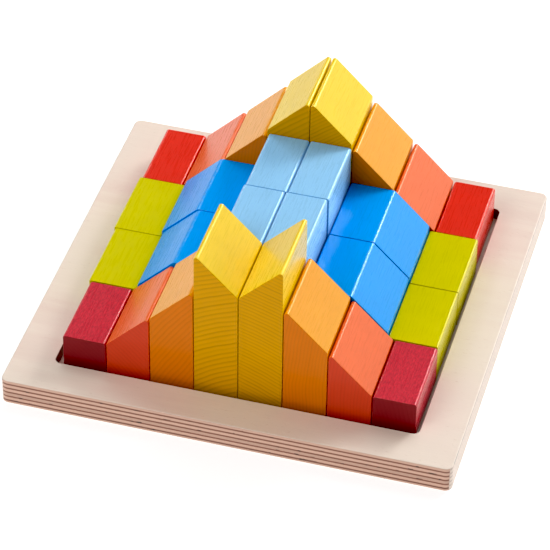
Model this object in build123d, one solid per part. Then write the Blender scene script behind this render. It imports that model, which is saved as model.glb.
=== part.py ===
from build123d import *
import os

# Wooden arranging puzzle: 28 lacquered beech blocks standing in a plywood tray.
# Frame: millimetres, +Z up, +X along a row of eight columns, +Y from the front row to the back row.
# The origin is the middle of the tray's underside.

# ---- driving dimensions: the tray -------------------------------------------------------------
PLY = 1.4                   # one veneer of the birch plywood
BASE_PLIES = 6              # veneers in the bottom board
FRAME_PLIES = 5             # veneers in the rim that is glued on the board
TRAY_W = 245.0              # outside, along X
TRAY_D = 237.0              # outside, along Y
RECESS_W = 199.2            # the window in the rim, along X
RECESS_D = 193.5            # the window in the rim, along Y
TRAY_CORNER_R = 4.0
RECESS_CORNER_R = 3.5
OUTER_ARRIS = 0.8           # rounding of the tray's outside edges
INNER_ARRIS = 0.4           # rounding of the window's upper edge

# ---- driving dimensions: the blocks -----------------------------------------------------------
PITCH = 24.15               # one column, a block and its gap
GAP = 0.65                  # air between two blocks of the front or back row
BLOCK_L = 46.4              # every block's length along Y
FLAT_H = 24.0               # height of the flat bars at the tray's rim
STEP = 23.6                 # rise of a ramp over one block's width, near 45 degrees
LIME_W = 27.2               # the lime bars are a little wider than a column
BOX_W = 23.1                # the light blue boxes of the upper deck are a little narrower
SHELF_W = 45.3              # the blue blocks are nearly two columns wide
SHELF_FLAT = 25.0           # width of their flat top, before the ramp begins
YELLOW_EXTRA = 2.0          # the yellow ramps stand this much above their level
LONG_EDGE_R = 1.5           # rounding of the edges that run along Y
LIME_EDGE_R = 0.8           # the same on the lime bars
FOLD_R = 3.0                # softer rounding where a blue block's top turns into its ramp
END_EDGE_R = 0.35           # light rounding round both sawn ends
SAME_PLACE = 0.01           # an edge this near to a corner of the outline is that corner's edge

# ---- where the rows stand ---------------------------------------------------------------------
ROW_LEFT = -95.3            # left side of the front row's first block
ROW_Y = [-93.7, -46.5, 0.4, 47.1]   # front end of the blocks in rows 1 to 4
BACK_ROW_SHIFT = -0.7       # the back row stands this far to the left of the front row
# left sides of the six blocks in rows 2 and 3: lime, blue, two light blue, blue, lime
MIDDLE_X = {
    2: [-96.4, -68.9, -23.3, 0.2, 24.3, 69.9],
    3: [-97.4, -69.9, -22.5, 1.0, 24.5, 70.1],
}

BASE_T = BASE_PLIES * PLY
FRAME_T = FRAME_PLIES * PLY
FLOOR_Z = BASE_T            # the recess's floor, on which every block stands


def level(steps):
    """Height of a block that reaches the given number of steps above the flat bars."""
    return FLAT_H + steps * STEP


def block(outline, folds=(), edge_radius=LONG_EDGE_R):
    """A straight bar with the given X, Z outline, along +Y, with its long edges and ends rounded."""
    face = make_face(Polyline(*[(x, 0, z) for x, z in outline], close=True))
    bar = extrude(face, amount=BLOCK_L, dir=(0, 1, 0))
    for x, z in folds:
        fold = bar.edges().filter_by(Axis.Y).sort_by_distance((x, BLOCK_L / 2, z))[0]
        bar = fillet(fold, FOLD_R)
    corners = [
        edge
        for edge in bar.edges().filter_by(Axis.Y)
        if any(abs(edge.center().X - x) + abs(edge.center().Z - z) < SAME_PLACE for x, z in outline)
    ]
    bar = fillet(corners, edge_radius)
    ends = bar.faces().sort_by(Axis.Y)
    return fillet(ends[0].edges() + ends[-1].edges(), END_EDGE_R)


def flat_bar(width, height, edge_radius=LONG_EDGE_R):
    """A plain bar with a level top."""
    return block([(0, 0), (width, 0), (width, height), (0, height)], edge_radius=edge_radius)


def ramp(left_height, right_height):
    """A bar one column wide whose top slopes from the left height to the right height."""
    width = PITCH - GAP
    return block([(0, 0), (width, 0), (width, right_height), (0, left_height)])


def shelf(rises_right):
    """A blue block: a flat top on the inner side and a 45 degree ramp down to the outer side."""
    top = level(1)
    toe = top - (SHELF_W - SHELF_FLAT)
    if rises_right:
        fold_x = SHELF_W - SHELF_FLAT
        outline = [(0, 0), (SHELF_W, 0), (SHELF_W, top), (fold_x, top), (0, toe)]
        return block(outline, folds=[(fold_x, top)])
    outline = [(0, 0), (SHELF_W, 0), (SHELF_W, toe), (SHELF_FLAT, top), (0, top)]
    return block(outline, folds=[(SHELF_FLAT, top)])


def outer_row(row, end_colour):
    """The eight blocks of row 1 or row 4, as name, solid and X place."""
    low, mid, high, peak = (level(steps) for steps in range(4))
    foot = high + YELLOW_EXTRA
    top = peak + YELLOW_EXTRA
    left_yellow, right_yellow = ((top, foot), (foot, top)) if row == 1 else ((foot, top), (top, foot))
    pieces = [
        (end_colour + "_flat", flat_bar(PITCH - GAP, low)),
        ("coral_ramp", ramp(low, mid)),
        ("orange_ramp", ramp(mid, high)),
        ("yellow_ramp", ramp(*left_yellow)),
        ("yellow_ramp", ramp(*right_yellow)),
        ("orange_ramp", ramp(high, mid)),
        ("coral_ramp", ramp(mid, low)),
        (end_colour + "_flat", flat_bar(PITCH - GAP, low)),
    ]
    left = ROW_LEFT + (BACK_ROW_SHIFT if row == 4 else 0.0)
    return [
        (f"row{row}_col{column + 1}_{name}", solid, left + column * PITCH)
        for column, (name, solid) in enumerate(pieces)
    ]


def middle_row(row):
    """The six blocks of row 2 or row 3, as name, solid and X place."""
    lime = flat_bar(LIME_W, FLAT_H, LIME_EDGE_R)
    box = flat_bar(BOX_W, level(2))
    pieces = [
        ("col1_lime_flat", lime),
        ("col23_blue_shelf", shelf(rises_right=True)),
        ("col4_sky_box", box),
        ("col5_sky_box", box),
        ("col67_blue_shelf", shelf(rises_right=False)),
        ("col8_lime_flat", lime),
    ]
    return [(f"row{row}_{name}", solid, x) for (name, solid), x in zip(pieces, MIDDLE_X[row])]


def rounded_plate(width, depth, thickness, corner_radius):
    """A plate with round vertical corners, standing on z = 0."""
    return extrude(RectangleRounded(width, depth, corner_radius), amount=thickness)


def tray_base():
    """The bottom board, with its lower outside edge rounded."""
    plate = rounded_plate(TRAY_W, TRAY_D, BASE_T, TRAY_CORNER_R)
    return fillet(plate.faces().sort_by(Axis.Z)[0].edges(), OUTER_ARRIS)


def tray_rim():
    """The rim glued on the board: one ring of plywood whose window is the recess."""
    ring = rounded_plate(TRAY_W, TRAY_D, FRAME_T, TRAY_CORNER_R)
    ring -= rounded_plate(RECESS_W, RECESS_D, FRAME_T, RECESS_CORNER_R)
    top = ring.faces().sort_by(Axis.Z)[-1]
    ring = fillet(top.outer_wire().edges(), OUTER_ARRIS)
    top = ring.faces().sort_by(Axis.Z)[-1]
    ring = fillet(top.inner_wires()[0].edges(), INNER_ARRIS)
    return Pos(0, 0, BASE_T) * ring


def write(name, solid):
    """Save one sub-part under its node's name."""
    export_step(solid, f"parts/{name}.step")


os.makedirs("parts", exist_ok=True)
write("tray_base", tray_base())
write("tray_rim", tray_rim())
rows = [outer_row(1, "burgundy"), middle_row(2), middle_row(3), outer_row(4, "red")]
for row_y, row_blocks in zip(ROW_Y, rows):
    for name, solid, x in row_blocks:
        write(name, Pos(x, row_y, FLOOR_Z) * solid)
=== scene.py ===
import math
import random

import bpy
from mathutils import Matrix, Vector


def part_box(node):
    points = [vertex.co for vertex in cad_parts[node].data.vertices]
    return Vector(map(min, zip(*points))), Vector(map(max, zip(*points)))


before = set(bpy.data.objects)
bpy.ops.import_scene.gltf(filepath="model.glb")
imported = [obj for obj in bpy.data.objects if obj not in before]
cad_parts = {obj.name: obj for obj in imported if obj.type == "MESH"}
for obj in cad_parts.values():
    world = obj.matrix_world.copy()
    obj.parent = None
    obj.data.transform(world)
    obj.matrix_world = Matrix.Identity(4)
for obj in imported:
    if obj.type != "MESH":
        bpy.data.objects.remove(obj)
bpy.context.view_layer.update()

# Looks for a wooden arranging puzzle: lacquered beech blocks standing in a birch plywood tray.
# Everything is in metres, in the CAD model's frame. Materials work in millimetres of object space.

MM = 0.001
TO_MM = 1000.0


# ---- camera -----------------------------------------------------------------------------------
CAMERA_LENS = 204.4              # mm, on a 36 mm sensor
CAMERA_SENSOR = 36.0
CAMERA_AZIMUTH = math.radians(15.268)
CAMERA_ELEVATION = math.radians(40.081)
CAMERA_ROLL = math.radians(0.831)
CAMERA_DISTANCE = 1.715
CAMERA_TARGET = Vector((-0.00665, 0.00553, 0.0154))


def add_camera():
    """A long lens, looking down on the puzzle's front right corner."""
    data = bpy.data.cameras.new("camera")
    data.lens = CAMERA_LENS
    data.sensor_width = CAMERA_SENSOR
    data.clip_start = 0.05
    data.clip_end = 50.0
    camera = bpy.data.objects.new("camera", data)
    bpy.context.scene.collection.objects.link(camera)
    azimuth, elevation, roll = CAMERA_AZIMUTH, CAMERA_ELEVATION, CAMERA_ROLL
    back = Vector((
        math.sin(azimuth) * math.cos(elevation),
        -math.cos(azimuth) * math.cos(elevation),
        math.sin(elevation),
    ))
    level_right = Vector((math.cos(azimuth), math.sin(azimuth), 0.0))
    level_up = back.cross(level_right)
    right = math.cos(roll) * level_right + math.sin(roll) * level_up
    up = -math.sin(roll) * level_right + math.cos(roll) * level_up
    turn = Matrix((right, up, back)).transposed()
    camera.matrix_world = Matrix.Translation(CAMERA_TARGET + CAMERA_DISTANCE * back) @ turn.to_4x4()
    bpy.context.scene.camera = camera


# ---- node trees -------------------------------------------------------------------------------
class Nodes:
    """Short ways to add and link the nodes of one tree."""

    def __init__(self, tree):
        self.tree = tree

    def add(self, kind, inputs=(), **settings):
        """A new node. Inputs are pairs of a socket's name or number and a value or a linked socket."""
        node = self.tree.nodes.new(kind)
        for name, value in settings.items():
            setattr(node, name, value)
        for socket, value in dict(inputs).items():
            self.put(node.inputs[socket], value)
        return node

    def put(self, socket, value):
        if isinstance(value, bpy.types.NodeSocket):
            self.tree.links.new(value, socket)
        else:
            socket.default_value = value

    def math(self, operation, *values, clamp=False):
        inputs = {number: value for number, value in enumerate(values)}
        return self.add("ShaderNodeMath", inputs, operation=operation, use_clamp=clamp).outputs[0]

    def vector(self, operation, *values):
        inputs = {number: value for number, value in enumerate(values)}
        return self.add("ShaderNodeVectorMath", inputs, operation=operation).outputs[0]

    def split(self, vector):
        return self.add("ShaderNodeSeparateXYZ", {0: vector}).outputs

    def noise(self, vector, scale, detail=2.0, roughness=0.5, colour=False):
        """Noise from 0 to 1, with features about 1 / scale wide."""
        node = self.add(
            "ShaderNodeTexNoise",
            {"Vector": vector, "Scale": scale, "Detail": detail, "Roughness": roughness},
        )
        return node.outputs[1 if colour else 0]

    def ramp(self, value, low, high, bottom=0.0, top=1.0, smooth=True):
        """The value, rescaled from low..high to bottom..top and held there."""
        node = self.add(
            "ShaderNodeMapRange",
            {0: value, 1: low, 2: high, 3: bottom, 4: top},
            interpolation_type="SMOOTHSTEP" if smooth else "LINEAR",
        )
        return node.outputs[0]

    def mix(self, factor, a, b, blend="MIX"):
        """Mix of two colours."""
        node = self.add("ShaderNodeMix", data_type="RGBA", blend_type=blend, clamp_factor=True)
        self.put(node.inputs[0], factor)
        self.put(node.inputs[6], a)
        self.put(node.inputs[7], b)
        return node.outputs[2]

    def tint(self, colour, value, amount):
        """The colour times 1 - amount to 1 + amount as the value goes from 0 to 1."""
        gain = self.ramp(value, 0.0, 1.0, 1.0 - amount, 1.0 + amount, smooth=False)
        base = colour if isinstance(colour, bpy.types.NodeSocket) else colour[:3]
        return self.add("ShaderNodeVectorMath", {0: base, "Scale": gain}, operation="SCALE").outputs[0]


def new_material(name):
    """A material with its principled shader and the tree's helper."""
    material = bpy.data.materials.new(name)
    material.use_nodes = True
    shader = material.node_tree.nodes["Principled BSDF"]
    return material, shader, Nodes(material.node_tree)


def linear(red, green, blue):
    """An sRGB colour of 0 to 255 as linear red, green, blue and alpha."""
    def part(value):
        value = value / 255.0
        return value / 12.92 if value <= 0.04045 else ((value + 0.055) / 1.055) ** 2.4
    return (part(red), part(green), part(blue), 1.0)


# ---- lacquered beech --------------------------------------------------------------------------
# sRGB colour along the grain, of the sawn ends, and how strongly ray flecks and rings show.
LACQUERS = {
    "burgundy": ((204, 54, 68), (128, 42, 46), 0.22, 0.05),
    "red": ((230, 50, 34), (194, 48, 34), 0.04, 0.05),
    "coral": ((246, 111, 52), (199, 67, 46), 0.02, 0.06),
    "orange": ((246, 165, 30), (205, 110, 30), 0.02, 0.08),
    "yellow": ((246, 209, 28), (196, 139, 18), 0.02, 0.16),
    "lime": ((216, 206, 2), (190, 180, 2), 0.02, 0.06),
    "blue": ((0, 163, 255), (0, 130, 228), 0.02, 0.06),
    "sky": ((152, 212, 255), (124, 192, 240), 0.02, 0.06),
}
RING_SPACING = (1.6, 2.8)        # mm between two growth rings
RING_RADIUS = (150.0, 250.0)     # mm from a block to the heart of its log
RING_WOBBLE = 2.4                # mm
SAWN_FROM_TO = (0.6, 0.9)        # how far a face has to point along Y to count as a sawn end
BARE_BEECH = (246, 214, 170)     # sRGB, where the lacquer is thin
BARE_BEECH_SHOWS = 0.18
LACQUER_ROUGHNESS = (0.24, 0.34)
SAWN_END_ROUGHER = 0.10
LACQUER_COAT = 0.12
LACQUER_COAT_ROUGHNESS = 0.1
LACQUER_RELIEF = 0.05            # mm

# Where the log's heart lies from some blocks, in degrees, and the mm between their growth rings.
# The other blocks get both by lot.
RINGS = {
    "row1_col3_orange_ramp": (146.0, 2.4),
    "row1_col4_yellow_ramp": (116.0, 2.8),
    "row1_col5_yellow_ramp": (70.0, 2.2),
    "row1_col6_orange_ramp": (176.0, 1.8),
    "row1_col7_coral_ramp": (178.0, 1.8),
    "row4_col4_yellow_ramp": (135.0, 2.8),
    "row4_col5_yellow_ramp": (133.0, 2.0),
}


def lacquered_beech(name, node, seed):
    """Semi-gloss coloured lacquer over beech whose grain runs along Y."""
    colour, end_colour, flecks, rings = LACQUERS[name]
    colour, end_colour = linear(*colour), linear(*end_colour)
    dice = random.Random(seed)
    material, shader, g = new_material(f"{name}_lacquer_{seed}")
    low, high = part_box(node)
    middle = (low + high) / 2
    coords = g.add("ShaderNodeTexCoord")
    place = g.vector("SCALE", g.vector("SUBTRACT", coords.outputs["Object"], middle))
    place.node.inputs["Scale"].default_value = TO_MM
    offset = [dice.uniform(0.0, 900.0) for _ in range(3)]
    grain = g.vector("ADD", place, offset)
    normal = g.split(g.vector("ABSOLUTE", coords.outputs["Normal"]))
    sawn = g.ramp(normal[1], *SAWN_FROM_TO)

    # growth rings: circles about the log's heart, far to one side of the block
    lot = dice.uniform(0.0, 180.0), dice.uniform(*RING_SPACING)
    ring_angle, ring_spacing = RINGS.get(node, lot)
    ring_angle = math.radians(ring_angle)
    radius = dice.uniform(*RING_RADIUS)
    heart = (radius * math.cos(ring_angle), 0.0, radius * math.sin(ring_angle))
    wobble = g.noise(g.vector("MULTIPLY", grain, (1.0, 0.25, 1.0)), 0.045, 2.0, colour=True)
    centred = g.vector("SUBTRACT", wobble, (0.5, 0.5, 0.5))
    wobble = g.vector("MULTIPLY", centred, (RING_WOBBLE, 0.0, RING_WOBBLE))
    turned = g.vector("ADD", g.vector("ADD", place, heart), wobble)
    across = g.split(turned)
    distance = g.math("SQRT", g.math("ADD", g.math("MULTIPLY", across[0], across[0]),
                                     g.math("MULTIPLY", across[2], across[2])))
    turns = g.math("DIVIDE", distance, ring_spacing)
    wave = g.math("FRACT", turns)
    late = g.math("MULTIPLY", g.ramp(wave, 0.3, 0.82), g.ramp(wave, 0.84, 1.0, 1.0, 0.0))
    uneven = g.noise(g.add("ShaderNodeCombineXYZ", {0: turns}).outputs[0], 0.9, 1.0)
    late = g.math("MULTIPLY", late, g.ramp(uneven, 0.3, 0.7, 0.35, 1.0))

    # fibres and pores along the grain, and the short dark flecks of beech's rays
    fibre = g.noise(g.vector("MULTIPLY", grain, (1.0, 0.05, 1.0)), 1.3, 3.0, 0.6)
    pores = g.noise(g.vector("MULTIPLY", grain, (1.0, 0.22, 1.0)), 2.6, 2.0, 0.55)
    fleck = g.noise(g.vector("MULTIPLY", grain, (1.0, 0.3, 1.0)), 1.5, 3.0, 0.7)
    blotch = g.noise(grain, 0.07, 2.0)

    long_colour = g.tint(colour, fibre, 0.035)
    long_colour = g.tint(long_colour, g.ramp(fleck, 0.3, 0.7), flecks)
    long_colour = g.tint(long_colour, g.math("SUBTRACT", 1.0, late), rings * 0.1)
    short_colour = g.tint(end_colour, g.math("SUBTRACT", 1.0, late), rings)
    short_colour = g.tint(short_colour, pores, 0.05)
    paint = g.mix(sawn, long_colour, short_colour)
    paint = g.tint(paint, blotch, 0.06)

    # edges: the lacquer is thin where faces meet, so the wood shows through a little
    facing = g.split(coords.outputs["Normal"])
    slope = g.math("ARCTAN2", facing[0], facing[2])
    round_edge = g.math("ABSOLUTE", g.math("SINE", g.math("MULTIPLY", slope, 4.0)))
    end_edge = g.math("MULTIPLY", g.ramp(normal[1], 0.05, 0.4), g.ramp(normal[1], 0.75, 0.98, 1.0, 0.0))
    edge = g.math("MAXIMUM", g.math("MULTIPLY", round_edge, g.ramp(normal[1], 0.3, 0.7, 1.0, 0.0)), end_edge)
    rubbed = g.math("MULTIPLY", edge, g.ramp(g.noise(grain, 0.35, 3.0, 0.6), 0.45, 0.75))
    paint = g.mix(g.math("MULTIPLY", rubbed, BARE_BEECH_SHOWS), paint, linear(*BARE_BEECH))
    g.put(shader.inputs["Base Color"], paint)

    gloss = g.ramp(fibre, 0.2, 0.8, *LACQUER_ROUGHNESS)
    gloss = g.math("ADD", gloss, g.math("MULTIPLY", sawn, SAWN_END_ROUGHER))
    g.put(shader.inputs["Roughness"], gloss)
    shader.inputs["Specular Tint"].default_value = linear(*LACQUERS[name][0])
    shader.inputs["Coat Weight"].default_value = LACQUER_COAT
    shader.inputs["Coat Roughness"].default_value = LACQUER_COAT_ROUGHNESS

    raised_rings = g.math("MULTIPLY", g.math("MULTIPLY", late, sawn), 0.4)
    relief = g.math("ADD", g.math("MULTIPLY", fibre, 0.35), raised_rings)
    relief = g.math("ADD", relief, g.math("MULTIPLY", pores, 0.25))
    relief = g.math("ADD", relief, g.math("MULTIPLY", g.noise(grain, 0.5, 1.0), 0.8))
    bump = g.add("ShaderNodeBump", {"Strength": 0.3, "Distance": LACQUER_RELIEF * MM, "Height": relief})
    g.put(shader.inputs["Normal"], bump.outputs[0])
    return material


# ---- birch plywood ----------------------------------------------------------------------------
PLY = 1.4                        # mm, one veneer
WINDOW_HALF_W = 101.0            # mm, just outside the recess's walls
WINDOW_HALF_D = 98.5
PLYWOOD_COAT = 0.15
PLYWOOD_COAT_ROUGHNESS = 0.3
PLYWOOD_ROUGHNESS = (0.42, 0.55)
PLYWOOD_RELIEF = 0.08            # mm
# sRGB colours of the plywood's edges and of its face
LIGHT_VENEER = (236, 206, 184)
DARK_VENEER = (146, 98, 76)
GLUE_LINE = (120, 80, 56)
VOID = (52, 34, 26)
# painted light and shade: SIDE_EDGE_PAINTED_LIGHT pales the side edges as painted light,
# FRONT_EDGE_PAINTED_SHADE darkens the front and back edges as painted shade
SIDE_EDGE_PAINTED_LIGHT = (240, 228, 216)
FRONT_EDGE_PAINTED_SHADE = (228, 210, 205)
# painted shade: the dark brown that the window's walls are turned to
WINDOW_WALL_PAINTED_SHADE = (110, 56, 38)
FACE_LIGHT = (245, 228, 212)
FACE_DARK = (239, 217, 202)
FACE_CLOUD = (242, 226, 210)
FACE_DASH = (190, 150, 118)


def birch_plywood():
    """Eleven birch veneers with their grain turned by a quarter from one to the next."""
    material, shader, g = new_material("birch_plywood")
    coords = g.add("ShaderNodeTexCoord")
    place = g.vector("SCALE", coords.outputs["Object"])
    place.node.inputs["Scale"].default_value = TO_MM
    normal = g.split(g.vector("ABSOLUTE", coords.outputs["Normal"]))
    flat = g.ramp(normal[2], 0.6, 0.9)
    side_x = g.ramp(g.math("SUBTRACT", normal[0], normal[1]), -0.1, 0.1)

    # which veneer, and how far up in it
    waver = g.noise(g.vector("MULTIPLY", place, (1.0, 1.0, 0.3)), 0.03, 2.0)
    height = g.math("ADD", g.split(place)[2], g.math("MULTIPLY", g.math("SUBTRACT", waver, 0.5), 0.25))
    veneers = g.math("DIVIDE", height, PLY)
    number = g.math("FLOOR", veneers)
    within = g.math("FRACT", veneers)
    odd = g.math("MODULO", number, 2.0)
    end_grain = g.math("ABSOLUTE", g.math("SUBTRACT", odd, side_x))
    core = g.math("MULTIPLY", g.ramp(within, 0.0, 0.3), g.ramp(within, 0.7, 1.0, 1.0, 0.0))
    shade = g.add("ShaderNodeTexWhiteNoise", {"W": number}, noise_dimensions="1D").outputs["Value"]

    # edges of the veneers
    along = g.noise(g.vector("MULTIPLY", place, (0.06, 0.06, 2.4)), 1.0, 3.0, 0.6)
    speckle = g.noise(g.vector("MULTIPLY", place, (2.2, 2.2, 1.2)), 1.0, 2.0, 0.6)
    light = g.tint(linear(*LIGHT_VENEER), along, 0.12)
    dark = g.tint(linear(*DARK_VENEER), speckle, 0.16)
    edge_colour = g.tint(g.mix(g.math("MULTIPLY", end_grain, core), light, dark), shade, 0.10)
    glue = g.math("ADD", g.ramp(within, 0.0, 0.10, 1.0, 0.0), g.ramp(within, 0.92, 1.0))
    edge_colour = g.mix(g.math("MULTIPLY", glue, 0.2), edge_colour, linear(*GLUE_LINE))
    gap_place = g.vector("ADD", g.vector("MULTIPLY", place, (0.16, 0.16, 0.5)), (3.7, 1.9, 0.0))
    gap = g.ramp(g.noise(gap_place, 1.0, 1.0), 0.64, 0.68)
    gap = g.math("MULTIPLY", gap, g.math("MULTIPLY", end_grain, g.ramp(within, 0.1, 0.35)))
    edge_colour = g.mix(g.math("MULTIPLY", gap, 0.85), edge_colour, linear(*VOID))
    # painted light and shade on the edges: the side edges are paled as painted light, the front and back
    # edges darkened as painted shade, and the window's walls darkened as painted shade
    pale = g.mix(0.6, edge_colour, linear(*SIDE_EDGE_PAINTED_LIGHT))
    edge_colour = g.mix(side_x, g.mix(1.0, edge_colour, linear(*FRONT_EDGE_PAINTED_SHADE), "MULTIPLY"), pale)
    # painted shade: the walls inside the window are darkened towards a dark brown
    at = g.split(g.vector("ABSOLUTE", place))
    within_width = g.math("LESS_THAN", at[0], WINDOW_HALF_W)
    within_depth = g.math("LESS_THAN", at[1], WINDOW_HALF_D)
    window = g.math("MULTIPLY", within_width, within_depth)
    wall_painted_shade = g.tint(linear(*WINDOW_WALL_PAINTED_SHADE), speckle, 0.25)
    edge_colour = g.mix(window, edge_colour, wall_painted_shade)

    # the face veneer, its grain along X
    figure = g.vector("MULTIPLY", place, (0.10, 1.0, 1.0))
    bands = g.noise(figure, 0.09, 3.0, 0.55)
    streak = g.noise(g.vector("MULTIPLY", place, (0.035, 1.0, 1.0)), 1.5, 3.0, 0.6)
    cloud = g.noise(place, 0.022, 2.0)
    face = g.mix(g.ramp(bands, 0.3, 0.7), linear(*FACE_LIGHT), linear(*FACE_DARK))
    face = g.mix(g.ramp(cloud, 0.3, 0.7), face, linear(*FACE_CLOUD))
    face = g.tint(face, streak, 0.035)
    dash = g.noise(g.vector("MULTIPLY", place, (0.25, 1.6, 1.0)), 1.0, 2.0)
    face = g.mix(g.math("MULTIPLY", g.ramp(dash, 0.68, 0.76), 0.28), face, linear(*FACE_DASH))
    g.put(shader.inputs["Base Color"], g.mix(flat, edge_colour, face))

    g.put(shader.inputs["Roughness"], g.ramp(streak, 0.2, 0.8, *PLYWOOD_ROUGHNESS))
    shader.inputs["Coat Weight"].default_value = PLYWOOD_COAT
    shader.inputs["Coat Roughness"].default_value = PLYWOOD_COAT_ROUGHNESS
    relief = g.math("ADD", g.math("MULTIPLY", streak, g.math("MULTIPLY", flat, 0.5)),
                    g.math("MULTIPLY", g.math("SUBTRACT", 1.0, flat), g.math("MULTIPLY", speckle, 1.2)))
    relief = g.math("SUBTRACT", relief, g.math("MULTIPLY", g.math("MULTIPLY", glue, 0.6),
                                               g.math("SUBTRACT", 1.0, flat)))
    relief = g.math("SUBTRACT", relief, g.math("MULTIPLY", gap, 3.0))
    bump = g.add("ShaderNodeBump", {"Strength": 0.4, "Distance": PLYWOOD_RELIEF * MM, "Height": relief})
    g.put(shader.inputs["Normal"], bump.outputs[0])
    return material


# ---- studio -----------------------------------------------------------------------------------
FLOOR_SIZE = 8.0
FLOOR_DROP = 0.2                 # mm below the tray's underside
FLOOR_COLOUR = (188, 188, 188)
FLOOR_ROUGHNESS = 0.7
FLOOR_GLOW = 0.70
WHITE = (1.0, 1.0, 1.0, 1.0)
BLACK_LEVEL = 0.018
SKY_ALL_ROUND = 0.24
SKY_BEHIND = 2.3                 # extra light low down, behind the puzzle on its right
# azimuth from +Y towards +X and elevation in degrees, size in metres, watts
SOFTBOX_DISTANCE = 2.2
SOFTBOXES = {
    "key": (30.0, 33.0, 0.7, 21.0),
    "back": (0.0, 60.0, 1.0, 9.0),
    "left": (-75.0, 45.0, 1.6, 4.0),
    "front": (212.0, 36.0, 1.4, 20.0),
    "glint_right": (22.0, 36.0, 0.4, 17.0),
    "glint_left": (-30.0, 30.0, 0.22, 3.0),
}


def add_floor():
    """A plain pale floor under the tray, bright as on a studio sweep."""
    half = FLOOR_SIZE / 2
    mesh = bpy.data.meshes.new("floor")
    corners = [(-half, -half, 0), (half, -half, 0), (half, half, 0), (-half, half, 0)]
    mesh.from_pydata(corners, [], [(0, 1, 2, 3)])
    floor = bpy.data.objects.new("floor", mesh)
    floor.location.z = -FLOOR_DROP * MM
    bpy.context.scene.collection.objects.link(floor)
    material, shader, _ = new_material("floor")
    shader.inputs["Base Color"].default_value = linear(*FLOOR_COLOUR)
    shader.inputs["Roughness"].default_value = FLOOR_ROUGHNESS
    shader.inputs["Emission Color"].default_value = WHITE
    shader.inputs["Emission Strength"].default_value = FLOOR_GLOW
    mesh.materials.append(material)


def add_world():
    """Soft daylight: bright and low behind the puzzle, dimmer overhead and in front."""
    world = bpy.data.worlds.new("studio")
    world.use_nodes = True
    bpy.context.scene.world = world
    g = Nodes(world.node_tree)
    direction = g.split(g.add("ShaderNodeTexCoord").outputs["Generated"])
    behind = g.math("MULTIPLY", g.ramp(direction[1], -0.4, 0.4), g.ramp(direction[0], -0.4, 0.4))
    window = g.math("MULTIPLY", behind, g.ramp(direction[2], 0.15, 0.4, 1.0, 0.0))
    strength = g.math("MULTIPLY_ADD", window, SKY_BEHIND, SKY_ALL_ROUND)
    background = world.node_tree.nodes["Background"]
    background.inputs["Color"].default_value = WHITE
    g.put(background.inputs["Strength"], strength)


def add_lights():
    """Large softboxes that face the puzzle, and two small ones that only glint on rounded edges."""
    for name, (azimuth, elevation, size, watts) in SOFTBOXES.items():
        data = bpy.data.lights.new(name, "AREA")
        data.shape = "SQUARE"
        data.size = size
        data.energy = watts
        light = bpy.data.objects.new(name, data)
        bpy.context.scene.collection.objects.link(light)
        a, e = math.radians(azimuth), math.radians(elevation)
        toward = Vector((math.sin(a) * math.cos(e), math.cos(a) * math.cos(e), math.sin(e)))
        light.location = toward * SOFTBOX_DISTANCE
        light.rotation_euler = toward.to_track_quat("Z", "Y").to_euler()
        light.visible_camera = False
        light.visible_diffuse = not name.startswith("glint")


# ---- build ------------------------------------------------------------------------------------
def dress():
    """A material for every CAD node."""
    plywood = birch_plywood()
    for seed, (node, piece) in enumerate(sorted(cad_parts.items())):
        if node.startswith("tray"):
            material = plywood
        else:
            material = lacquered_beech(node.split("_")[2], node, seed)
        for slot in piece.material_slots:
            slot.material = material


settings = bpy.context.scene.view_settings
settings.view_transform = "Standard"
settings.use_curve_mapping = True
settings.curve_mapping.black_level = (BLACK_LEVEL,) * 3
add_camera()
add_floor()
add_world()
add_lights()
dress()
